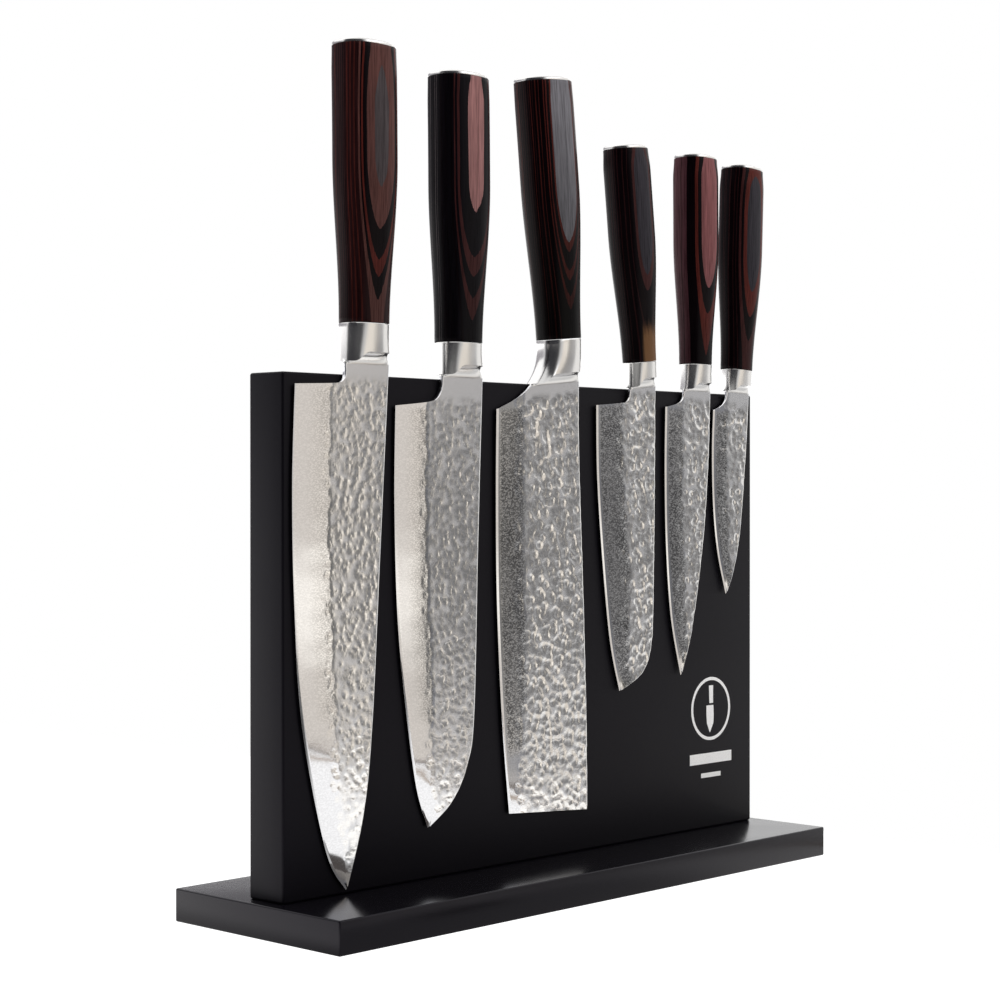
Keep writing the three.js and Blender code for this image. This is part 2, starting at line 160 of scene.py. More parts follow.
CAMERA_PLACE = Vector((-0.7032, -0.6480, 0.1752))
CAMERA_AZIMUTH = math.radians(-46.634)
CAMERA_ELEVATION = math.radians(0.273)
SENSOR = 36
LENS = 78.3


def add_camera():
    data = bpy.data.cameras.new("camera")
    data.sensor_width = SENSOR
    data.lens = LENS
    camera = bpy.data.objects.new("camera", data)
    level = math.cos(CAMERA_ELEVATION)
    forward = Vector((
        -math.sin(CAMERA_AZIMUTH) * level,
        math.cos(CAMERA_AZIMUTH) * level,
        -math.sin(CAMERA_ELEVATION),
    ))
    camera.location = CAMERA_PLACE
    camera.rotation_mode = "QUATERNION"
    camera.rotation_quaternion = forward.to_track_quat("-Z", "Y")
    bpy.context.scene.collection.objects.link(camera)
    bpy.context.scene.camera = camera


class Graph:
    """Short calls for building a node tree. Each call gives the socket that it makes."""

    def __init__(self, tree):
        self.tree = tree
        tree.nodes.clear()

    def node(self, kind, inputs=(), **settings):
        made = self.tree.nodes.new(kind)
        for name, value in settings.items():
            setattr(made, name, value)
        for key, value in dict(inputs).items():
            self.feed(made.inputs[key], value)
        return made

    def feed(self, socket, value):
        if isinstance(value, bpy.types.NodeSocket):
            self.tree.links.new(value, socket)
        else:
            socket.default_value = value

    def math(self, operation, a, b=0.0):
        return self.node("ShaderNodeMath", {0: a, 1: b}, operation=operation).outputs[0]

    def add(self, a, b):
        return self.math("ADD", a, b)

    def subtract(self, a, b):
        return self.math("SUBTRACT", a, b)

    def times(self, a, b):
        return self.math("MULTIPLY", a, b)

    def scaled(self, vector, factor):
        return self.node("ShaderNodeVectorMath", {0: vector, "Scale": factor}, operation="SCALE").outputs[0]

    def span(self, value, low, high, to_low=0.0, to_high=1.0, smooth=True):
        kind = "SMOOTHSTEP" if smooth else "LINEAR"
        limits = {"From Min": low, "From Max": high, "To Min": to_low, "To Max": to_high}
        return self.node("ShaderNodeMapRange", {"Value": value, **limits}, interpolation_type=kind).outputs[0]

    def mixed(self, data_type, ending, factor, a, b):
        """A Mix node has sockets for every type of data, so they are found by their identifiers."""
        made = self.node("ShaderNodeMix", data_type=data_type)
        for name, value in (("Factor_Float", factor), (f"A_{ending}", a), (f"B_{ending}", b)):
            self.feed(next(s for s in made.inputs if s.identifier == name), value)
        return next(s for s in made.outputs if s.identifier == f"Result_{ending}")

    def mix(self, factor, color, other):
        return self.mixed("RGBA", "Color", factor, color, other)

    def blend(self, factor, number, other):
        return self.mixed("FLOAT", "Float", factor, number, other)

    def place(self, scale=(1, 1, 1)):
        where = self.node("ShaderNodeTexCoord").outputs["Object"]
        return self.node("ShaderNodeMapping", {"Vector": where, "Scale": scale}).outputs[0]

    def split(self, vector):
        return self.node("ShaderNodeSeparateXYZ", {"Vector": vector}).outputs

    def noise(self, vector, scale, detail=2.0, roughness=0.5, distortion=0.0):
        inputs = {"Vector": vector, "Scale": scale, "Detail": detail}
        inputs.update({"Roughness": roughness, "Distortion": distortion})
        return self.node("ShaderNodeTexNoise", inputs).outputs["Fac"]

    def attribute(self, name):
        return self.node("ShaderNodeAttribute", attribute_name=name).outputs["Fac"]

    def bump(self, height, strength, distance, normal=None):
        inputs = {"Height": height, "Strength": strength, "Distance": distance}
        if normal:
            inputs["Normal"] = normal
        return self.node("ShaderNodeBump", inputs).outputs[0]


def window(graph, value, low, high, soft):
    """1 where the value lies between the limits and 0 elsewhere, with soft ends."""
    rise = graph.span(value, low - soft, low + soft)
    fall = graph.span(value, high - soft, high + soft, 1.0, 0.0)
    return graph.times(rise, fall)


# The studio as the glossy parts see it: azimuths run from the front to the right, in degrees.
TENT = (1.0, 1.0, 1.0, 1)
ROOM = (0.035, 0.035, 0.04, 1)
FRONT_SCREEN = (0.74, 0.74, 0.74, 1)
CREAM_SCREEN = (0.92, 0.85, 0.765, 1)
CREAM_LAMP = (1.40, 1.33, 1.21, 1)
WHITE_SCREEN = (1.05, 1.04, 1.02, 1)
GREY_SCREEN = (0.26, 0.25, 0.235, 1)
DARK_GAP = (0.21, 0.21, 0.22, 1)
LIGHT_SCREEN = (0.33, 0.33, 0.335, 1)
UPPER_LAMP = (2.4, 2.4, 2.45, 1)
LEFT_WALL = (1.8, 1.8, 1.8, 1)
DIM_BAND = (0.30, 0.29, 0.31, 1)
TENT_BEHIND = 1.4
# Painted light and shade on the paper floor: how brightly its parts glow, and the tone of its shade.
FLOOR_GLOW = 1.4
FLOOR_SHADE = (0.17, 0.15, 0.14, 1)
FLOOR_NEAR = 0.62
FLOOR_LEFT = 1.9
FLOOR_FRONT_LEFT = 0.45
FLOOR_BEHIND = 0.9
FLOOR_REACH = 1.5
FLOOR_DEPTH = 1.6
FLOOR_RIGHT_END = 0.222
# Painted shade in the paper's fold.
PAPER_FOLD_SHADE = (0.36, 0.28, 0.21, 1)
PAPER_EDGE = (0.10, 0.07, 0.05, 1)


def add_world():
    """A white light tent. It opens into a dark room at the front left, and screens stand to the right."""
    world = bpy.data.worlds.new("tent")
    bpy.context.scene.world = world
    world.use_nodes = True
    graph = Graph(world.node_tree)
    x, y, z = graph.split(graph.node("ShaderNodeTexCoord").outputs["Generated"])
    azimuth = graph.times(graph.math("ARCTAN2", x, graph.times(y, -1.0)), 180 / math.pi)
    elevation = graph.times(graph.math("ARCSINE", z), 180 / math.pi)

    def zone(color, azimuths, elevations, soft, shade):
        across = window(graph, azimuth, *azimuths, soft[0])
        inside = graph.times(across, window(graph, elevation, *elevations, soft[1]))
        return graph.mix(inside, color, shade)

    upper = graph.span(elevation, -0.5, 2.5, 1.0, 1.5)
    lower = graph.span(elevation, -7.5, -3.5, 0.9, 0.0)
    light = graph.add(upper, lower)

    def lit(shade):
        """A screen that is brighter towards its top and towards its foot."""
        return graph.scaled(shade[:3], light)

    color = zone(TENT, (-30, 85), (-50, 11), (8, 3), FRONT_SCREEN)
    color = zone(color, (12, 88), (15, 34), (6, 3), UPPER_LAMP)
    color = zone(color, (18, 60), (-14, 20), (6, 4), CREAM_SCREEN)
    color = zone(color, (-122, 0), (-50, 48), (10, 5), ROOM)
    color = zone(color, (18, 41), (-4.6, -2.0), (4, 1.0), CREAM_LAMP)
    color = zone(color, (48, 84), (-24, 30), (3, 2), WHITE_SCREEN)
    color = zone(color, (41, 54), (-8, 6.5), (1.2, 1.4), lit(GREY_SCREEN))
    color = zone(color, (44.6, 48.5), (-8, 6), (1.2, 1.4), lit(DARK_GAP))
    color = zone(color, (49.5, 58.5), (-8, 4.5), (0.8, 1.2), lit(LIGHT_SCREEN))
    for azimuths in ((-182, -127), (134, 182)):
        color = zone(color, azimuths, (-14, 3.5), (2, 1.0), LEFT_WALL)
        color = zone(color, azimuths, (4.5, 24), (2, 1.0), DIM_BAND)
    behind = graph.span(y, 0.0, 0.3, 1.0, TENT_BEHIND)
    camera = graph.node("ShaderNodeLightPath").outputs["Is Camera Ray"]
    background = graph.node("ShaderNodeBackground", {
        "Color": graph.mix(camera, color, TENT),
        "Strength": graph.blend(camera, behind, 1.0),
    })
    graph.node("ShaderNodeOutputWorld", {"Surface": background.outputs[0]})


def paper_tone(graph, x, y):
    """White, but with painted shade in its fold and in a patch in front of the block, and darker at its right
    end.
    """
    right = FLOOR_RIGHT_END
    fibre = graph.noise(graph.place(), 900.0)
    tone = graph.mix(fibre, (0.96, 0.95, 0.93, 1), (1.0, 0.99, 0.97, 1))
    # Painted shade: a darker band where the paper folds.
    fold = window(graph, x, right - 0.042, right - 0.028, 0.001)
    tone = graph.mix(fold, tone, PAPER_FOLD_SHADE)
    rim = window(graph, x, right - 0.012, right + 0.001, 0.001)
    tone = graph.mix(rim, tone, PAPER_EDGE)
    shaded = graph.times(window(graph, y, -0.142, -0.088, 0.002), window(graph, x, -0.075, -0.02, 0.01))
    return graph.mix(shaded, tone, FLOOR_SHADE)


def paper_glow(graph, x, y):
    """How brightly each part of the paper glows: painted light, since no lamp lights it. A painted band of
    light crosses it.
    """
    from_band = graph.add(graph.times(x, 0.77), graph.times(y, 0.64))
    from_band = graph.math("ABSOLUTE", graph.add(from_band, 0.066))
    painted_light_band = graph.span(from_band, 0.08, 0.20, 1.0, 0.0)
    painted_light_band = graph.times(painted_light_band, graph.span(y, -0.144, -0.141, 1.0, 0.0))
    near = graph.span(x, 0.03, 0.12, FLOOR_NEAR, 2.0 * FLOOR_NEAR)
    near = graph.times(near, graph.span(y, -0.35, -0.1, 0.2, 1.0))
    glow = graph.blend(graph.span(y, -0.06, 0.0), near, FLOOR_BEHIND)
    glow = graph.blend(painted_light_band, glow, FLOOR_GLOW)
    left = graph.span(y, -0.14, -0.09, FLOOR_FRONT_LEFT, FLOOR_LEFT)
    return graph.blend(graph.span(x, -0.18, -0.155, 1.0, 0.0), glow, left)


def add_floor():
    """White paper under the block. It ends to the right, and the camera sees it as plain white."""
    left, right = -FLOOR_REACH, FLOOR_RIGHT_END
    front, back = -FLOOR_DEPTH, FLOOR_DEPTH
    corners = [(left, front, 0), (right, front, 0), (right, back, 0), (left, back, 0)]
    mesh = bpy.data.meshes.new("floor")
    mesh.from_pydata(corners, [], [(0, 1, 2, 3)])
    floor = bpy.data.objects.new("floor", mesh)
    bpy.context.scene.collection.objects.link(floor)
    material = bpy.data.materials.new("paper")
    material.use_nodes = True
    graph = Graph(material.node_tree)
    x, y = graph.split(graph.place())[:2]
    camera = graph.node("ShaderNodeLightPath").outputs["Is Camera Ray"]
    # The paper glows with painted light and shade, which the other surfaces see; the camera sees plain white.
    shader = graph.node("ShaderNodeEmission", {
        "Color": graph.mix(camera, paper_tone(graph, x, y), (1, 1, 1, 1)),
        "Strength": graph.blend(camera, paper_glow(graph, x, y), 1.3),
    })
    graph.node("ShaderNodeOutputMaterial", {"Surface": shader.outputs[0]})
    mesh.materials.append(material)


# ------------------------------ materials


def new_material(name):
    material = bpy.data.materials.new(name)
    material.use_nodes = True
    return material, Graph(material.node_tree)


def surface(graph, **inputs):
    named = {name.replace("_", " "): value for name, value in inputs.items()}
    shader = graph.node("ShaderNodeBsdfPrincipled", named)
    graph.node("ShaderNodeOutputMaterial", {"Surface": shader.outputs[0]})


def lacquer(name, smoothest, roughest, ior):
    """Black satin lacquer over wood: a faint orange peel, and pores that the lacquer doesn't quite fill."""
    material, graph = new_material(name)
    peel = graph.noise(graph.place(), 420.0, 2.0)
    pores = graph.noise(graph.place((1, 1, 14)), 260.0, 3.0)
    haze = graph.noise(graph.place(), 9.0, 3.0)
    roughness = graph.span(haze, 0.3, 0.7, smoothest, roughest)
    normal = graph.bump(peel, 0.10, 0.0002)
    normal = graph.bump(pores, 0.05, 0.0001, normal)
    tone = graph.mix(haze, (0.0035, 0.0030, 0.0048, 1), (0.0050, 0.0044, 0.0066, 1))
    tint = (0.92, 0.88, 1.0, 1)
    surface(graph, Base_Color=tone, Roughness=roughness, IOR=ior, Specular_Tint=tint, Normal=normal)
    return material


PIT_TONE = (0.19, 0.19, 0.19, 1)
PLAIN_GROUND = 0.1


def bent_place(graph):
    """Object coordinates pushed about a little, so that a regular pattern loses its order."""
    cloud = graph.node("ShaderNodeTexNoise", {"Vector": graph.place(), "Scale": 300.0, "Detail": 1.0})
    push = graph.scaled(cloud.outputs["Color"], 0.0022)
    inputs = {0: graph.place((1, 0.2, 1)), 1: push}
    return graph.node("ShaderNodeVectorMath", inputs, operation="ADD").outputs[0]


def blade_steel():
    """Layered steel: etched grain in the ground band, polished dents above it, satin at the neck."""
    material, graph = new_material("hammered_blade")
    hammered = graph.attribute("hammered")
    ground = graph.attribute("ground")
    grain = graph.noise(graph.place((0.8, 1, 1.4)), 1350.0, 2.0, 0.6, 0.5)
    layers = graph.noise(graph.place((1.0, 1.0, 4.5)), 210.0, 4.0, 0.6, 1.2)
    patches = graph.noise(graph.place((1.0, 1.0, 0.5)), 90.0, 2.0)

    satin = graph.mix(grain, (0.62, 0.625, 0.65, 1), (0.72, 0.725, 0.75, 1))
    bright = graph.mix(graph.span(layers, 0.35, 0.65), (0.72, 0.71, 0.70, 1), (0.80, 0.79, 0.78, 1))
    tone = graph.mix(graph.math("MAXIMUM", hammered, ground), satin, bright)
    pits = graph.times(ground, graph.span(grain, 0.47, 0.58, 1.0, 0.0))
    pits = graph.times(pits, graph.span(patches, 0.3, 0.7, 0.7, 1.0))
    tone = graph.mix(pits, tone, PIT_TONE)

    smooth_band = graph.math("MINIMUM", graph.times(ground, 12.0), 1.0)
    roughness = graph.blend(smooth_band, graph.blend(hammered, 0.24, 0.10), 0.05)

    etched = graph.span(ground, PLAIN_GROUND * 1.1, 1.0, smooth=False)
    fine = graph.times(grain, graph.times(etched, 0.6))
    cells = graph.node("ShaderNodeTexVoronoi", {"Vector": bent_place(graph), "Scale": 520.0})
    marks = graph.times(graph.math("POWER", cells.outputs["Distance"], 2.0), hammered)
    normal = graph.bump(fine, 0.5, 0.0001)
    normal = graph.bump(marks, 0.35, 0.0001, normal)
    normal = graph.bump(layers, 0.02, 0.00006, normal)
    surface(graph, Base_Color=tone, Metallic=1.0, Roughness=roughness, Normal=normal)
    return material


def polished_steel():
    """Bolsters and end caps: polished along the handle, so the shine is a little soft."""
    material, graph = new_material("polished_steel")
    rub = graph.noise(graph.place((1, 1, 0.08)), 1800.0, 3.0)
    cloud = graph.noise(graph.place(), 60.0, 2.0)
    roughness = graph.span(cloud, 0.3, 0.7, 0.17, 0.23)
    tone = graph.mix(cloud, (0.70, 0.69, 0.68, 1), (0.78, 0.77, 0.76, 1))
    surface(graph, Base_Color=tone, Metallic=1.0, Roughness=roughness, Normal=graph.bump(rub, 0.08, 0.00006))
    return material


VENEER_TONES = {
    "charcoal": (0.055, 0.045, 0.048, 1),
    # Painted sheen: this charcoal dye is made light in place of the shine on the cleaver's handle.
    "slate_and_painted_sheen": (0.150, 0.145, 0.160, 1),
    "coal": (0.026, 0.023, 0.029, 1),
    "rosewood": (0.255, 0.122, 0.118, 1),
    "brown": (0.185, 0.068, 0.070, 1),
    "walnut": (0.080, 0.032, 0.028, 1),
    "plum": (0.050, 0.019, 0.024, 1),
    "red": (0.072, 0.013, 0.010, 1),
    "maroon": (0.052, 0.011, 0.009, 1),
    "dusk": (0.040, 0.012, 0.012, 1),
    "dull": (0.016, 0.0048, 0.0054, 1),
    "black": (0.0026, 0.0008, 0.0016, 1),
    "ebony": (0.0030, 0.0020, 0.0034, 1),
}
TAN_PATCH = (0.17, 0.085, 0.038, 1)
STACK_HALF = 14.0
PINCH = 0.06
TIP_ROUNDING = 0.0006
MOST_VENEERS = 30
WAVE = 0.0006
FRAY = 0.00007


def stack_depth(graph, knife, x, y, z, fibre):
    """Place across the veneers: the distance from the handle's middle, bent as the veneers are."""
    length = knife["handle"]["length"] * MM
    square = graph.times(x, x)
    crown = graph.add(1.0, graph.times(square, knife["crown"]))
    closing = graph.span(z, 0.75 * length, length, 1.0, knife["closing"])
    bent = graph.times(graph.times(y, crown), closing)
    aside = graph.math("SQRT", graph.add(square, TIP_ROUNDING ** 2))
    pinch = graph.times(graph.subtract(aside, TIP_ROUNDING), PINCH)
    cloud = graph.noise(graph.place((1, 1, 0.2)), 40.0, 1.0)
    wave = graph.times(graph.subtract(cloud, 0.5), WAVE)
    fray = graph.times(graph.subtract(fibre, 0.5), FRAY)
    return graph.add(graph.add(bent, pinch), graph.add(wave, fray))


def veneer_color(graph, knife, seed, depth):
    """The dye of the veneer at a depth, from a ramp with one sharp step for each veneer."""
    share = graph.span(depth, -STACK_HALF * MM, STACK_HALF * MM, smooth=False)
    ramp = graph.node("ShaderNodeValToRGB", {"Fac": share})
    ramp.color_ramp.interpolation = "CONSTANT"
    elements = ramp.color_ramp.elements
    elements.remove(elements[1])
    elements[0].color = VENEER_TONES[knife["veneers"][0][0]]
    for start, tone in veneer_stack(knife, seed):
        elements.new((start + STACK_HALF) / (2 * STACK_HALF)).color = VENEER_TONES[tone]
    return ramp.outputs[0]


def laminated_wood(knife, seed):
    """Dyed veneers glued flat against each other. The handle's rounding cuts them into long loops."""
    material, graph = new_material(f"laminated_wood_{knife['name']}")
    x, y, z = graph.split(graph.place())
    fibre = graph.noise(graph.place((1, 1, 0.035)), 1500.0, 4.0, 0.65)
    dye = veneer_color(graph, knife, seed, stack_depth(graph, knife, x, y, z, fibre))
    length = knife["handle"]["length"] * MM
    streaks = graph.span(fibre, 0.3, 0.7, 0.78, 1.55)
    # Painted sheen: besides the grain's streaks, the wood is darker at the bolster and lighter towards the
    # butt, where light falls on the handle's top.
    streaks_and_painted_sheen = graph.times(streaks, graph.span(z, 0.0, length, knife["fade"], 1.3, smooth=False))
    shade = graph.scaled(dye, streaks_and_painted_sheen)
    if knife.get("tan_patch"):
        low = graph.span(graph.subtract(z, graph.times(fibre, 0.012)), 0.005, 0.013, 1.0, 0.0)
        side = graph.span(graph.add(x, graph.times(fibre, 0.002)), -0.0035, -0.0015)
        shade = graph.mix(graph.times(low, side), shade, TAN_PATCH)
    roughness = graph.span(fibre, 0.3, 0.7, 0.26, 0.36)
    normal = graph.bump(fibre, 0.10, 0.00008)
    surface(graph, Base_Color=shade, Roughness=roughness, IOR=1.15, Normal=normal)
    return material


def veneer_stack(knife, seed):
    """Where each veneer after the first one starts, in mm from the handle's middle, with its dye."""
    chance = random.Random(seed)
    tones = [tone for tone, _ in knife["veneers"][1:]]
    starts = [-depth for _, depth in knife["veneers"]]
    stack = list(zip(starts, tones))
    start = starts[-1]
    common, lines = knife["inner"]
    while len(stack) < MOST_VENEERS and start < 10:
        stack.append((start, common))
        start += chance.uniform(0.5, 1.1)
        stack.append((start, chance.choice(lines)))
        start += chance.uniform(0.25, 0.5)
    return stack


def plated(name, scale, dark, light, smoothest, roughest):
    """Plated metal with a faint spangle."""
    material, graph = new_material(name)
    spangle = graph.noise(graph.place(), scale, 3.0)
    roughness = graph.span(spangle, 0.3, 0.7, smoothest, roughest)
    surface(graph, Base_Color=graph.mix(spangle, dark, light), Metallic=1.0, Roughness=roughness)
    return material


def zinc():
    return plated("zinc_plated_steel", 900.0, (0.42, 0.41, 0.38, 1), (0.60, 0.59, 0.56, 1), 0.28, 0.42)


def nickel():
    return plated("nickel_plating", 350.0, (0.50, 0.50, 0.49, 1), (0.62, 0.61, 0.59, 1), 0.2, 0.3)


def beech():
    material, graph = new_material("beech")
    fibre = graph.noise(graph.place((1, 1, 0.08)), 900.0, 4.0, 0.6)
    tone = graph.mix(fibre, (0.42, 0.24, 0.12, 1), (0.66, 0.45, 0.27, 1))
    surface(graph, Base_Color=tone, Roughness=0.7, Normal=graph.bump(fibre, 0.2, 0.0001))
    return material


def rubber():
    material, graph = new_material("foot_rubber")
    grain = graph.noise(graph.place(), 1400.0, 3.0)
    tone = graph.mix(grain, (0.012, 0.012, 0.012, 1), (0.03, 0.03, 0.03, 1))
    surface(graph, Base_Color=tone, Roughness=0.85, Normal=graph.bump(grain, 0.3, 0.0001))
    return material


def white_ink():
    material, graph = new_material("white_ink")
    grain = graph.noise(graph.place(), 1500.0, 3.0)
    tone = graph.mix(graph.span(grain, 0.3, 0.6), (0.90, 0.90, 0.91, 1), (1.0, 1.0, 1.0, 1))
    surface(graph, Base_Color=tone, Roughness=0.55, Normal=graph.bump(grain, 0.15, 0.00005))
    return material


# ------------------------------ meshes


def mesh_object(name, points, faces, material, smooth_angle=35):
    """A piece from points in mm and faces that all have the same number of corners."""
    points = np.asarray(points, float) * MM
    faces = np.asarray(faces, np.int32)
    mesh = bpy.data.meshes.new(name)
    mesh.vertices.add(len(points))
    mesh.vertices.foreach_set("co", points.ravel())
    mesh.loops.add(faces.size)
    mesh.loops.foreach_set("vertex_index", faces.ravel())
    mesh.polygons.add(len(faces))
    mesh.polygons.foreach_set("loop_start", np.arange(len(faces), dtype=np.int32) * faces.shape[1])
    mesh.update(calc_edges=True)
    mesh.validate()
    mesh.materials.append(material)
    mesh.shade_smooth()
    mesh.set_sharp_from_angle(angle=math.radians(smooth_angle))
    made = bpy.data.objects.new(name, mesh)
    bpy.context.scene.collection.objects.link(made)
    return made


def add_attribute(piece, name, values):
    attribute = piece.data.attributes.new(name, "FLOAT", "POINT")
    attribute.data.foreach_set("value", np.asarray(values, np.float32).ravel())


def settle(piece, body, slot, *nodes):
    """Ties a finished piece to its body and hides the CAD nodes that it stands for. The slot, its finish, is
    not used.
    """
    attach(piece, body)
    if nodes:
        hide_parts(*nodes)


def loft(rings):
    """Points and faces of a tube through rings of equal length, open at both ends."""
    rings = np.asarray(rings, float)
    count, sides = rings.shape[:2]
    here = np.arange(sides)
    beside = (here + 1) % sides
    faces = []
    for ring in range(count - 1):
        low = ring * sides
        faces.append(np.stack([low + here, low + beside, low + sides + beside, low + sides + here], 1))
    return rings.reshape(-1, 3), np.concatenate(faces)


def oval(half_width, half_thickness, middle, height, squareness=OVAL_POWER):
    """A squarish oval, as points around +Z. The height may differ from point to point."""
    angle = np.linspace(0, 2 * np.pi, RING_SIDES, endpoint=False)
    power = 2 / squareness
    x = middle + half_width * np.sign(np.cos(angle)) * np.abs(np.cos(angle)) ** power
    y = half_thickness * np.sign(np.sin(angle)) * np.abs(np.sin(angle)) ** power
    return np.stack([x, y, np.broadcast_to(height, x.shape)], 1)


def smooth_step(value):
    t = np.clip(value, 0, 1)
    return t * t * (3 - 2 * t)


def knife_matrix(knife):
    turn = Matrix.Rotation(math.radians(knife["lean"]), 4, "Y")
    x, z = knife["at"]
    return Matrix.Translation(Vector((x, BLADE_PLANE, BASE_BOTTOM + z)) * MM) @ turn


# ------------------------------ blades

GRID = 0.55
# The rows round the choil, and how much lower each has to be than the one before.
CHOIL_ROWS = 60
ROW_DROP = 0.004
# Dents start this far above the heel, and gain their full depth over the next millimetres down.
DENT_START = 6
DENT_FADE = 8
# A higher value gives sharper ridges between dents.
DENT_RIDGE = 120.0
# How far dents reach over the ground band's border, the share of their depth that they have there, and
# how far above it they gain all of it.
DENT_OVERHANG = 1.9
BORDER_DEPTH = 0.6
BORDER_FADE = 8
BEVEL_WIDTH = 0.9
BEVEL_HALF = 0.22
GRIND_CURVE = 1.05
# Distances from each rim of a blade to its closest columns of points. The last is the rounding, too.
RIM = np.array([0.0, 0.12, 0.35])


def run_along(line):
    """Distance from the start of a line to each of its points."""
    return np.concatenate([[0], np.cumsum(np.linalg.norm(np.diff(line, axis=0), axis=1))])


def spline(points, count):
    """Evenly spaced points along a Catmull-Rom curve through the given ones."""
    p = np.array(points, float)
    p = np.vstack([p[0], p, p[-1]])
    t = np.linspace(0, 1, 60, endpoint=False)[:, None]
    pieces = []
    for a, b, c, d in zip(p, p[1:], p[2:], p[3:]):
        start, end = (c - a) / 2, (d - b) / 2
        cubic = 2 * b - 2 * c + start + end
        square = 3 * c - 3 * b - 2 * start - end
        pieces.append(cubic * t**3 + square * t**2 + start * t + b)
    dense = np.vstack(pieces + [p[-1:]])
    run = run_along(dense)
    want = np.linspace(0, run[-1], count)
    return np.stack([np.interp(want, run, dense[:, axis]) for axis in (0, 1)], 1)


def blade_rows(knife):
    """Front and back ends of each slice across the blade, from the neck to the tip, and the edge's x."""
    choil = spline(knife["choil"], CHOIL_ROWS)
    spine = spline(knife["spine"], 1200)
    heel = choil[-1]
    levels = np.minimum.accumulate(choil[:, 1]) - ROW_DROP * np.arange(CHOIL_ROWS)
    across = np.stack([np.interp(-levels, -spine[:, 1], spine[:, 0]), levels], 1)
    run = run_along(spine)
    start = np.interp(-levels[-1], -spine[:, 1], run)
    count = int(run_along(spline(knife["edge"], 400))[-1] / GRID)
    edge = spline(knife["edge"], count + 1)[1:]
    want = np.linspace(start, run[-1], count + 1)[1:]
    back = np.stack([np.interp(want, run, spine[:, axis]) for axis in (0, 1)], 1)
    front = np.vstack([choil, edge])
    back = np.vstack([across, back])
    edge_x = np.concatenate([np.full(len(choil), heel[0]), edge[:, 0]])
    taper = np.concatenate([np.zeros(len(choil)), np.linspace(0, 1, count)])
    on_choil = np.arange(len(front)) < len(choil)
    return front, back, edge_x, taper, on_choil


def dent_field(x, z, centres, radii, depths):
    """Depth of overlapping round dents, with soft ridges where they meet."""
    total = np.zeros(x.shape)
    for start in range(0, len(centres), 60):
        some = slice(start, start + 60)
        away = (x[..., None] - centres[some, 0]) ** 2 + (z[..., None] - centres[some, 1]) ** 2
        dent = np.clip(1 - away / radii[some] ** 2, 0, None) * depths[some]
        total += np.expm1(DENT_RIDGE * dent).sum(-1)
    return np.log1p(total) / DENT_RIDGE


def dent_centres(knife, rng, lookup):
    """Jittered dents over the part of the blade above its ground band, up to the neck."""
    top = knife["choil"][-1][1] + DENT_START
    bottom = min(z for _, z in knife["edge"] + knife["spine"])
    left = min(x for x, _ in knife["edge"])
    right = max(x for x, _ in knife["spine"])
    pitch = knife["dent_pitch"]
    rows = np.arange(bottom, top, pitch * 0.87)
    centres = []
    for number, level in enumerate(rows):
        columns = np.arange(left, right + pitch, pitch) + (number % 2) * pitch / 2
        jitter = rng.normal(0, 0.38 * pitch, (len(columns), 2))
        spots = np.stack([columns, np.full(len(columns), level)], 1) + jitter
        edge_x = lookup(spots[:, 1])
        border = edge_x + band_width(spots[:, 1], knife)
        limit = border - DENT_OVERHANG + rng.normal(0, 0.9, len(columns))
        centres.append(spots[(spots[:, 0] > limit) & (spots[:, 1] < top - 1.5)])
    return np.vstack(centres)


def band_width(level, knife):
    """Width of the ground band. It narrows towards the tip, and its border is a little uneven."""
    tip = knife["edge"][-1][1]
    heel = knife["edge"][0][1]
    run = np.clip((heel - level) / (heel - tip), 0, 1)
    uneven = 0.45 * np.sin(level / 4.1) + 0.35 * np.sin(level / 1.9 + 1)
    return knife["grind"] * (1 - 0.45 * smooth_step((run - 0.55) / 0.45)) + uneven


def across_positions(width, count):
    """Distances from the front of a slice to its columns: close at both rims and even between."""
    middle = np.linspace(0, 1, count - 2 * len(RIM) + 2)[1:-1]
    rim = RIM * np.minimum(1, width / 2)[:, None]
    inner = width[:, None] - 2 * rim[:, -1:]
    even = rim[:, -1:] + inner * middle
    return np.hstack([rim, even, width[:, None] - rim[:, ::-1]])


def half_thickness(across, width, knife, taper, level):
    """Half the blade's thickness: a fine bevel at the edge, the ground band, then nearly flat."""
    spine_half = SPINE_HALF * (1 - 0.45 * taper)[:, None]
    width = width[:, None]
    band = np.minimum(band_width(level, knife), 0.55 * width)
    shoulder = knife["shoulder"] * spine_half
    up = np.clip((across - BEVEL_WIDTH) / (band - BEVEL_WIDTH), 0, 1)
    ground = BEVEL_HALF + (shoulder - BEVEL_HALF) * (1 - (1 - up) ** GRIND_CURVE)
    rest = np.clip((across - band) / (width - band + 1e-6), 0, 1)
    flat = shoulder + (spine_half - shoulder) * rest
    half = np.where(across < band, ground, flat)
    bevel = EDGE_HALF + (BEVEL_HALF - EDGE_HALF) * across / BEVEL_WIDTH
    return np.where(across < BEVEL_WIDTH, bevel, half)


def round_over(away):
    """What a rounded rim takes off the thickness, by the distance from the rim."""
    radius = RIM[-1]
    inside = np.clip(1 - away / radius, 0, 1)
    return radius * (1 - np.sqrt(1 - inside**2))


def hammer(knife, x, z, from_edge, half, lookup):
    """Depth of the dents in one side and then in the other, both from one run of chance."""
    rng = np.random.default_rng(name_number(knife["name"]))
    top = knife["choil"][-1][1] + DENT_START
    fade = np.clip((half - 0.1) / 0.4, 0, 1) * smooth_step((top - z) / DENT_FADE)
    beyond = smooth_step((from_edge - band_width(z, knife)) / BORDER_FADE)
    fade *= BORDER_DEPTH + (1 - BORDER_DEPTH) * beyond
    sides = []
    for _ in range(2):
        centres = dent_centres(knife, rng, lookup)
        radii = rng.uniform(0.60, 0.95, len(centres)) * knife["dent_pitch"]
        depths = rng.uniform(0.35, 1.5, len(centres)) * knife["dent"]
        dents = dent_field(x, z, centres, radii, depths)
        sides.append(np.minimum(dents * fade, np.maximum(half - 0.05, 0)))
    return sides


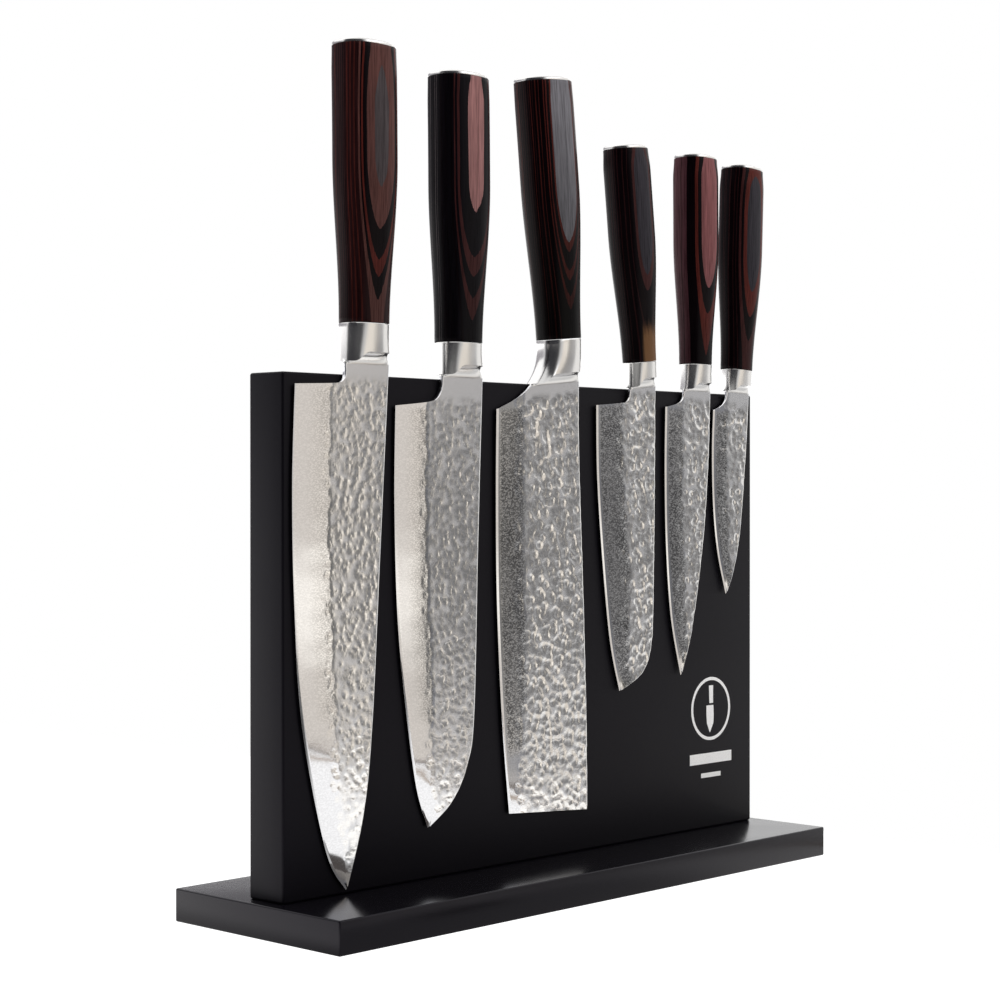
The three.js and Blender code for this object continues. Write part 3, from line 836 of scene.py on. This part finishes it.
def ground_strength(knife, z, from_edge):
    """How strongly the ground band is etched: PLAIN_GROUND where it is smooth, and 0 above the band."""
    heel = knife["choil"][-1][1]
    rise = smooth_step((from_edge - 1.4) / knife["etch_rise"])
    fall = 1 - smooth_step((from_edge - band_width(z, knife) + 0.5) / 2.5)
    below_heel = smooth_step((heel + 1.5 - z) / 4)
    above_end = smooth_step((z - knife["etch_end"]) / 9)
    etched = rise * below_heel * above_end * knife["etch"]
    return np.maximum(etched, PLAIN_GROUND * (from_edge > 0)) * fall


def two_sided_faces(rows, columns):
    """Faces of two grids that lie back to back, and of the wall that joins them at their rims."""
    number = np.arange(rows * columns).reshape(rows, columns)
    shift = rows * columns
    a, b, c, d = number[:-1, :-1], number[:-1, 1:], number[1:, 1:], number[1:, :-1]
    near = np.stack([a, d, c, b], -1).reshape(-1, 4)
    far = near[:, ::-1] + shift
    rim_line = np.concatenate([number[0, :-1], number[:-1, -1], number[-1, :0:-1], number[:0:-1, 0]])
    after = np.roll(rim_line, -1)
    wall = np.stack([rim_line, after, after + shift, rim_line + shift], 1)
    return np.vstack([near, far, wall])


def blade_mesh(knife, material):
    front, back, edge_x, taper, on_choil = blade_rows(knife)
    width = np.linalg.norm(back - front, axis=1)
    columns = int(width.max() / GRID) + 2 * len(RIM)
    along = across_positions(width, columns)
    share = along / width[:, None]
    x = front[:, :1] + (back - front)[:, :1] * share
    z = front[:, 1:] + (back - front)[:, 1:] * share
    from_edge = x - edge_x[:, None]

    half = half_thickness(np.maximum(from_edge, 0), back[:, 0] - edge_x, knife, taper, z)
    half = half - round_over(width[:, None] - along)
    half = np.maximum(half - round_over(along) * on_choil[:, None], 0.02)

    order = np.argsort(front[:, 1])

    def edge_at(level):
        return np.interp(level, front[order, 1], edge_x[order])

    near_dents, far_dents = hammer(knife, x, z, from_edge, half, edge_at)
    near = np.stack([x, near_dents - half, z], -1)
    far = np.stack([x, half - far_dents, z], -1)
    points = np.vstack([near.reshape(-1, 3), far.reshape(-1, 3)])
    blade = mesh_object(f"{knife['name']}_blade_steel", points, two_sided_faces(*x.shape), material, 40)
    hammered = np.clip(np.array([near_dents, far_dents]) / 0.05, 0, 1)
    add_attribute(blade, "hammered", hammered)
    add_attribute(blade, "ground", np.tile(ground_strength(knife, z, from_edge).ravel(), 2))
    return blade


def name_number(name):
    """A whole number from a name, the same on every run, to seed chance with."""
    return sum(ord(letter) * (place + 1) for place, letter in enumerate(name))


# ------------------------------ bolsters, handles and end caps


# Shares of a handle's length where it is at its widest, and where it begins to narrow again.
FULL_SWELL = 0.6
BUTT_START = 0.9
COLLAR_SLIMMING = 0.85
SHOULDER_DROP = 0.88
NECK_HALF = SPINE_HALF + 0.04
NECK_OVERLAP = 0.6


def bolster_mesh(knife, material):
    """A straight oval collar that hollows into the flat neck. It reaches further down towards the edge."""
    handle = knife["handle"]
    start = handle["start"]
    front, back = knife["choil"][0][0], knife["spine"][0][0]
    collar, neck = knife["collar"], knife["neck"]
    thick = start * handle["flatness"]
    slim = COLLAR_SLIMMING * thick
    drop = SHOULDER_DROP * (neck - collar)
    angle = np.linspace(0, 2 * np.pi, RING_SIDES, endpoint=False)
    edge_side = smooth_step((-np.cos(angle) - 0.2) / 0.6)
    bottom = collar + drop * edge_side

    def girth(edge_depth, spine_depth):
        """Half the width and the middle of a ring, by how far down its two sides are."""
        left = -start + (front + start) * min(edge_depth / neck, 1) ** 2.5
        right = start + (back - start) * min(spine_depth / neck, 1) ** 2
        return (right - left) / 2, (right + left) / 2

    rings = [oval(start - 0.15, thick - 0.15, 0, 0)]
    for t in np.linspace(0.02, 1, 12):
        half, middle = girth(t * (collar + drop), t * collar)
        rings.append(oval(half, thick + (slim - thick) * t, middle, -t * bottom))
    for t in np.linspace(0.0, 1, 16)[1:]:
        left_over = (1 - t) * (neck - collar)
        half, middle = girth(neck - left_over * (1 - SHOULDER_DROP), neck - left_over)
        hollow = 1 - math.sqrt(1 - (1 - t) ** 2)
        thin = NECK_HALF + (slim - SPINE_HALF) * hollow
        level = -bottom * (1 - t) - (neck + NECK_OVERLAP) * t
        rings.append(oval(half, thin, middle, level, OVAL_POWER + 7 * t ** 3))
    return ring_body(f"{knife['name']}_bolster_steel", rings, material, 28)


def close_ends(points, faces, sides):
    """Fills both end rings with shrinking rings, so that every face keeps four corners."""
    here = np.arange(sides)
    beside = (here + 1) % sides
    for first, outward in ((0, True), (len(points) - sides, False)):
        ring = points[first:first + sides]
        middle = ring.mean(0)
        outer = first + here
        for share in (0.6, 0.2, 0.001):
            start = len(points)
            points = np.vstack([points, middle + (ring - middle) * share])
            inner = start + here
            quad = [outer, inner, inner[beside], outer[beside]]
            if not outward:
                quad = quad[::-1]
            faces = np.vstack([faces, np.stack(quad, 1)])
            outer = inner
    return points, faces


def ring_body(name, rings, material, smooth_angle):
    """A closed piece through rings of equal length."""
    points, faces = loft(rings)
    return mesh_object(name, *close_ends(points, faces, len(rings[0])), material, smooth_angle)


def handle_ring(handle, t, inset=0.0):
    """The handle's outline at a share of its length: it swells from the bolster and narrows at the butt."""
    taper = handle["butt_taper"] * smooth_step((t - BUTT_START) / (1 - BUTT_START))
    half = handle["start"] + handle["swell"] * smooth_step(t / FULL_SWELL) - taper - inset
    middle = handle["bow"] * math.sin(math.pi * t)
    return oval(half, half * handle["flatness"], middle, t * handle["length"] + KNIFE_GAP / 2)


def handle_mesh(knife, material):
    handle = knife["handle"]
    stations = np.clip(np.linspace(0, 1, 60), 0.002, 0.998)
    rings = [handle_ring(handle, 0, 0.15)]
    rings += [handle_ring(handle, t) for t in stations]
    rings.append(handle_ring(handle, 1, 0.2))
    return ring_body(f"{knife['name']}_handle_wood", rings, material, 40)


def end_cap_mesh(knife, material):
    """A low polished dome on the butt. The profile is inset and height, from the wood up to the top."""
    handle = knife["handle"]
    half = handle["start"] + handle["swell"] - handle["butt_taper"] - 0.15
    low = handle["length"] + 0.1
    profile = [(0.15, 0.0), (0.0, 0.15), (0.0, 0.9), (0.3, 1.35), (1.0, 1.7), (3.0, 2.1), (6.5, 2.3)]
    rings = []
    for inset, height in profile:
        rings.append(oval(half - inset, (half - inset) * handle["flatness"], 0, low + height))
    return ring_body(f"{knife['name']}_end_cap_steel", rings, material, 35)


def add_knife(knife, steel, shine, wood):
    name = knife["name"]
    body = f"{name}_knife"
    pieces = [
        (blade_mesh(knife, steel), "blade_steel", "blade"),
        (bolster_mesh(knife, shine), "polished_steel", "bolster"),
        (handle_mesh(knife, wood), "laminated_wood", "handle"),
        (end_cap_mesh(knife, shine), "polished_steel", "end_cap"),
    ]
    for piece, slot, part in pieces:
        piece.matrix_world = knife_matrix(knife)
        settle(piece, body, slot, f"{name}_{part}")


# ------------------------------ board and base

BOARD_ROUNDING = 1.0
BASE_ROUNDING = 0.7
FIT = 0.15
SCREW_HEAD_HEIGHT = 2.6
SCREW_SHANK = 2.1
INK_HEIGHT = 0.04
MARK_CENTRE = (118.5, 71.0)
MARK_RADIUS = 15.0
MARK_STROKE = 1.5
# The small knife in the ring, as lines down its spine side and its edge side, from the ring's middle.
MARK_HANDLE = ([(1.7, 11.0), (1.7, 2.6)], [(-1.5, 11.0), (-1.1, 2.6)])
MARK_BLADE = (
    [(1.9, 1.6), (2.2, -3.0), (1.9, -7.0), (-0.6, -11.2)],
    [(-3.4, 1.6), (-3.4, -3.0), (-3.0, -7.0), (-0.9, -11.2)],
)
# Level, width and height of each bar under the ring.
MARK_BARS = [(47.5, 32, 5.0), (39.5, 15, 2.2)]


def rounded_block(name, low, high, radius, material):
    """A box from its corners, with every edge rounded."""
    x, y, z = ((low[axis], high[axis]) for axis in range(3))
    corners = [(a, b, c) for c in z for b in y for a in x]
    faces = [(0, 2, 3, 1), (4, 5, 7, 6), (0, 1, 5, 4), (2, 6, 7, 3), (0, 4, 6, 2), (1, 3, 7, 5)]
    piece = mesh_object(name, corners, faces, material)
    if radius:
        bevel = piece.modifiers.new("rounding", "BEVEL")
        bevel.width = radius * MM
        bevel.segments = 4
        bevel.limit_method = "NONE"
        apply_modifiers(piece)
    return piece


def apply_modifiers(piece):
    bpy.context.view_layer.update()
    graph = bpy.context.evaluated_depsgraph_get()
    mesh = bpy.data.meshes.new_from_object(piece.evaluated_get(graph))
    piece.modifiers.clear()
    piece.data = mesh


def cut(piece, cutters, operation="DIFFERENCE"):
    for cutter in cutters:
        boolean = piece.modifiers.new("cut", "BOOLEAN")
        boolean.operation = operation
        boolean.solver = "EXACT"
        boolean.object = cutter
    apply_modifiers(piece)
    for cutter in cutters:
        bpy.data.objects.remove(cutter)
    piece.data.shade_smooth()
    piece.data.set_sharp_from_angle(angle=math.radians(30))


def drill(x, y, radius, low, high, material):
    """A round cutter along Z."""
    sides = 48
    turn = np.linspace(0, 2 * np.pi, sides, endpoint=False)
    ring = np.stack([x + radius * np.cos(turn), y + radius * np.sin(turn), np.zeros(sides)], 1)
    return ring_body("cutter", [ring + (0, 0, low), ring + (0, 0, high)], material, 35)


def nodes_named(start):
    return sorted(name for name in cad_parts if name.startswith(start))


def upright(node):
    """Middle, radius, foot and top of a round node that stands upright."""
    low, high = box_mm(node)
    x, y = (low[:2] + high[:2]) / 2
    return x, y, (high[0] - low[0]) / 2, low[2], high[2]


def peg_holes(black, bottom):
    """Cutters for everything that stands in the base or joins it to the board."""
    holes = []
    for node in nodes_named("base_screw"):
        x, y, head, low, top = upright(node)
        holes.append(drill(x, y, head + FIT, bottom, low + SCREW_HEAD_HEIGHT + FIT, black))
        holes.append(drill(x, y, SCREW_SHANK + FIT, bottom, top + FIT, black))
    for node in nodes_named("dowel"):
        x, y, radius, low, top = upright(node)
        holes.append(drill(x, y, radius + FIT, low - FIT, top + FIT, black))
    for node in nodes_named("foot"):
        x, y, radius, _, top = upright(node)
        holes.append(drill(x, y, radius + FIT, bottom, top, black))
    return holes


def magnet_pockets(black):
    pockets = []
    for node in nodes_named("magnet"):
        low, high = box_mm(node)
        pockets.append(rounded_block("cutter", low - FIT, high + FIT, 0, black))
    return pockets


def add_board(black):
    """Two panels glued into one board: the rounding runs round the whole, and the glue line is flush."""
    far = 400
    for name, node, side, holes in (
        ("front_panel_lacquered", "front_panel", -1, magnet_pockets(black)),
        ("rear_panel_lacquered", "rear_panel", 1, peg_holes(black, BASE_BOTTOM)),
    ):
        panel = rounded_block(name, FRONT_LOW, REAR_HIGH, BOARD_ROUNDING, black)
        middle = BOARD_SPLIT + side * far
        keep = rounded_block("cutter", (-far, middle - far, -far), (far, middle + far, far), 0, black)
        cut(panel, [keep], "INTERSECT")
        cut(panel, holes)
        settle(panel, "block", "lacquered_wood", node)


def add_base(black):
    base = rounded_block("base_plate_lacquered", BASE_LOW, BASE_HIGH, BASE_ROUNDING, black)
    cut(base, peg_holes(black, BASE_BOTTOM - 1))
    settle(base, "block", "lacquered_wood", "base_plate")


def strip(one, other, closed=False):
    """A thin raised shape on the board's front, between two lines of as many points."""
    one, other = np.array(one, float), np.array(other, float)
    if closed:
        one, other = np.vstack([one, one[:1]]), np.vstack([other, other[:1]])
    count = len(one)
    points = []
    for y in (BOARD_FRONT - INK_HEIGHT, BOARD_FRONT + INK_HEIGHT / 2):
        for line in (one, other):
            points += [(x, y, z) for x, z in line]
    front = np.arange(count)
    a, b, c, d = front, front + count, front + 2 * count, front + 3 * count
    faces = []
    for k in range(count - 1):
        faces += [(a[k], b[k], b[k + 1], a[k + 1]), (d[k], c[k], c[k + 1], d[k + 1])]
        faces += [(c[k], a[k], a[k + 1], c[k + 1]), (b[k], d[k], d[k + 1], b[k + 1])]
    if not closed:
        faces += [(a[0], c[0], d[0], b[0]), (b[-1], d[-1], c[-1], a[-1])]
    return np.array(points), np.array(faces)


def add_mark():
    """A plain printed sign in place of the maker's: a ring round a knife, over two bars."""
    x = MARK_CENTRE[0]
    turn = np.linspace(0, 2 * np.pi, 72, endpoint=False)
    circle = np.stack([np.cos(turn), np.sin(turn)], 1)
    outer = MARK_CENTRE + MARK_RADIUS * circle
    inner = MARK_CENTRE + (MARK_RADIUS - MARK_STROKE) * circle
    shapes = [strip(outer, inner, closed=True)]
    for back, front in (MARK_HANDLE, MARK_BLADE):
        shapes.append(strip(np.add(front, MARK_CENTRE), np.add(back, MARK_CENTRE)))
    for level, width, height in MARK_BARS:
        ends = np.array([(x - width / 2, level), (x + width / 2, level)])
        shapes.append(strip(ends - (0, height / 2), ends + (0, height / 2)))
    points = []
    faces = []
    count = 0
    for some_points, some_faces in shapes:
        points.append(some_points)
        faces.append(some_faces + count)
        count += len(some_points)
    mark = mesh_object("printed_sign", np.vstack(points), np.vstack(faces), white_ink())
    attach(mark, "block")


def paint_frame_nodes():
    """The hidden and small pieces keep their CAD shape and get their own finish."""
    finishes = {"magnet": nickel(), "base_screw": zinc(), "dowel": beech(), "foot": rubber()}
    for node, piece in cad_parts.items():
        for start, material in finishes.items():
            if node.startswith(start):
                piece.data.materials.clear()
                piece.data.materials.append(material)


# ------------------------------ the whole scene

add_camera()
add_world()
add_floor()
add_base(lacquer("base_lacquer", 0.20, 0.25, 1.29))
add_board(lacquer("board_lacquer", 0.40, 0.46, 1.19))
add_mark()
paint_frame_nodes()
steel = blade_steel()
shine = polished_steel()
for number, knife in enumerate(KNIVES):
    wood = laminated_wood(knife, number)
    add_knife(knife, steel, shine, wood)

bpy.context.scene.view_settings.view_transform = "Standard"
